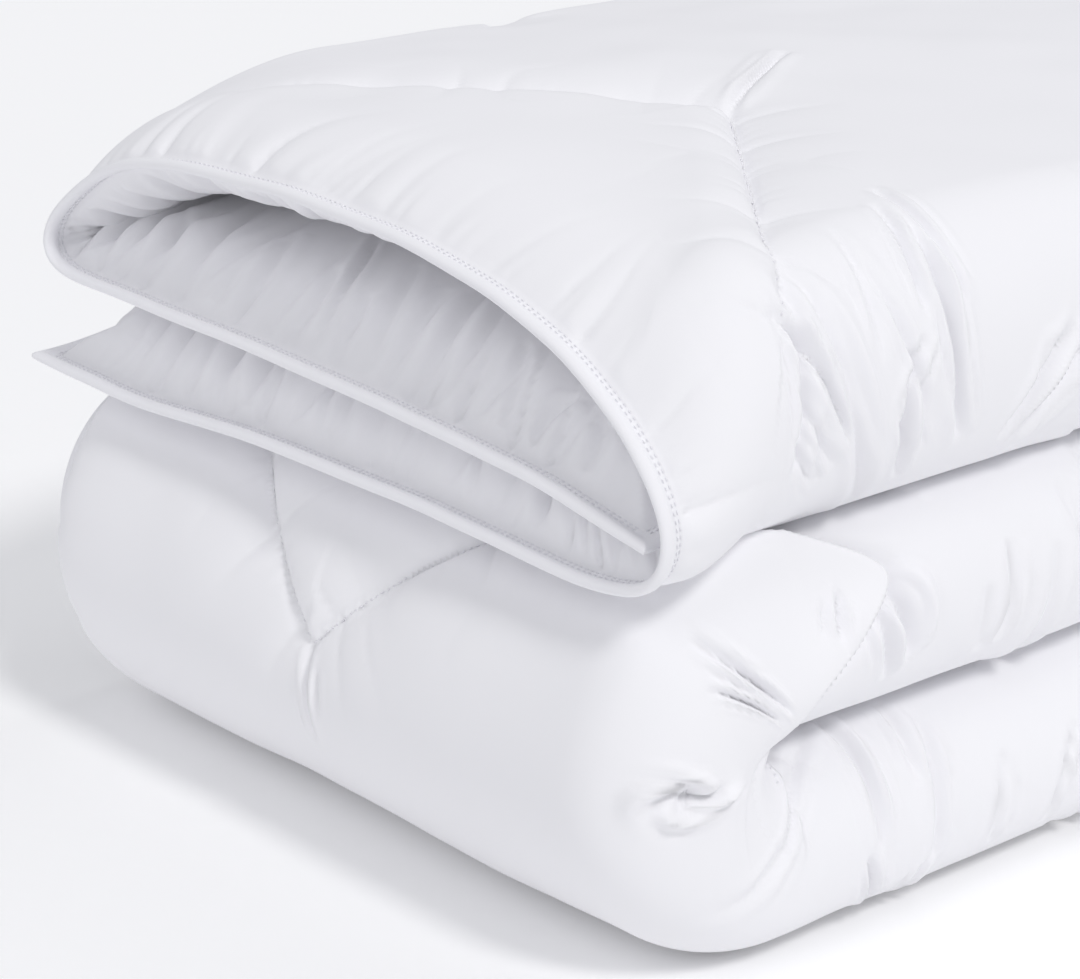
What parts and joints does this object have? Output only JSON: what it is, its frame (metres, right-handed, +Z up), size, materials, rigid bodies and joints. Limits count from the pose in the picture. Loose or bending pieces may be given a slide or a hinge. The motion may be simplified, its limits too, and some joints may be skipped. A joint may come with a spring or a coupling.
{
  "type": "folded duvet",
  "caption": "Quilted white duvet with stitched hems, folded in thirds both ways into a thick soft stack that opens at its crosswise folds.",
  "frame": {"origin": "middle of the folded stack's footprint, on the floor", "axes": "+X across the stack towards the closed lengthwise fold, +Y along it away from the open hem of the upper third, +Z up"},
  "size_m": [0.5614, 0.82, 0.401],
  "materials": {
    "cotton_sheet": "fine percale with a soft satin sheen",
    "hem": "the same percale, turned in and double stitched",
    "filling": "matt hollow-fibre wadding",
    "thread": "polyester sewing thread"
  },
  "bodies": {
    "lower_third": {"lower_outer_sheet": "cotton_sheet", "lower_inner_sheet": "cotton_sheet", "lower_filling": "filling", "lower_side_hem": "hem", "lower_tucked_hem": "hem", "lower_end_hem": "hem", "lower_quilting": "thread", "front_fold_outer_sheet": "cotton_sheet", "front_fold_inner_sheet": "cotton_sheet", "front_fold_filling": "filling", "front_fold_side_hem": "hem", "front_fold_tucked_hem": "hem", "front_fold_quilting": "thread"},
    "middle_third": {"middle_outer_sheet": "cotton_sheet", "middle_inner_sheet": "cotton_sheet", "middle_filling": "filling", "middle_side_hem": "hem", "middle_tucked_hem": "hem", "middle_quilting": "thread", "back_fold_outer_sheet": "cotton_sheet", "back_fold_inner_sheet": "cotton_sheet", "back_fold_filling": "filling", "back_fold_side_hem": "hem", "back_fold_tucked_hem": "hem", "back_fold_quilting": "thread"},
    "upper_third": {"upper_outer_sheet": "cotton_sheet", "upper_inner_sheet": "cotton_sheet", "upper_filling": "filling", "upper_side_hem": "hem", "upper_tucked_hem": "hem", "upper_end_hem": "hem", "upper_quilting": "thread"}
  },
  "joints": [
    {"name": "middle_turn", "type": "hinge", "parent": "lower_third", "child": "middle_third", "pos_m": [0, -0.29393, 0.1161], "axis": [1, 0, 0], "range_deg": [0, 85], "deforming": ["front_fold_outer_sheet", "front_fold_inner_sheet", "front_fold_filling", "front_fold_side_hem", "front_fold_tucked_hem", "front_fold_quilting"]},
    {"name": "upper_turn", "type": "hinge", "parent": "middle_third", "child": "upper_third", "pos_m": [0, 0.29393, 0.2327], "axis": [-1, 0, 0], "range_deg": [0, 178], "deforming": ["back_fold_outer_sheet", "back_fold_inner_sheet", "back_fold_filling", "back_fold_side_hem", "back_fold_tucked_hem", "back_fold_quilting"]}
  ]
}
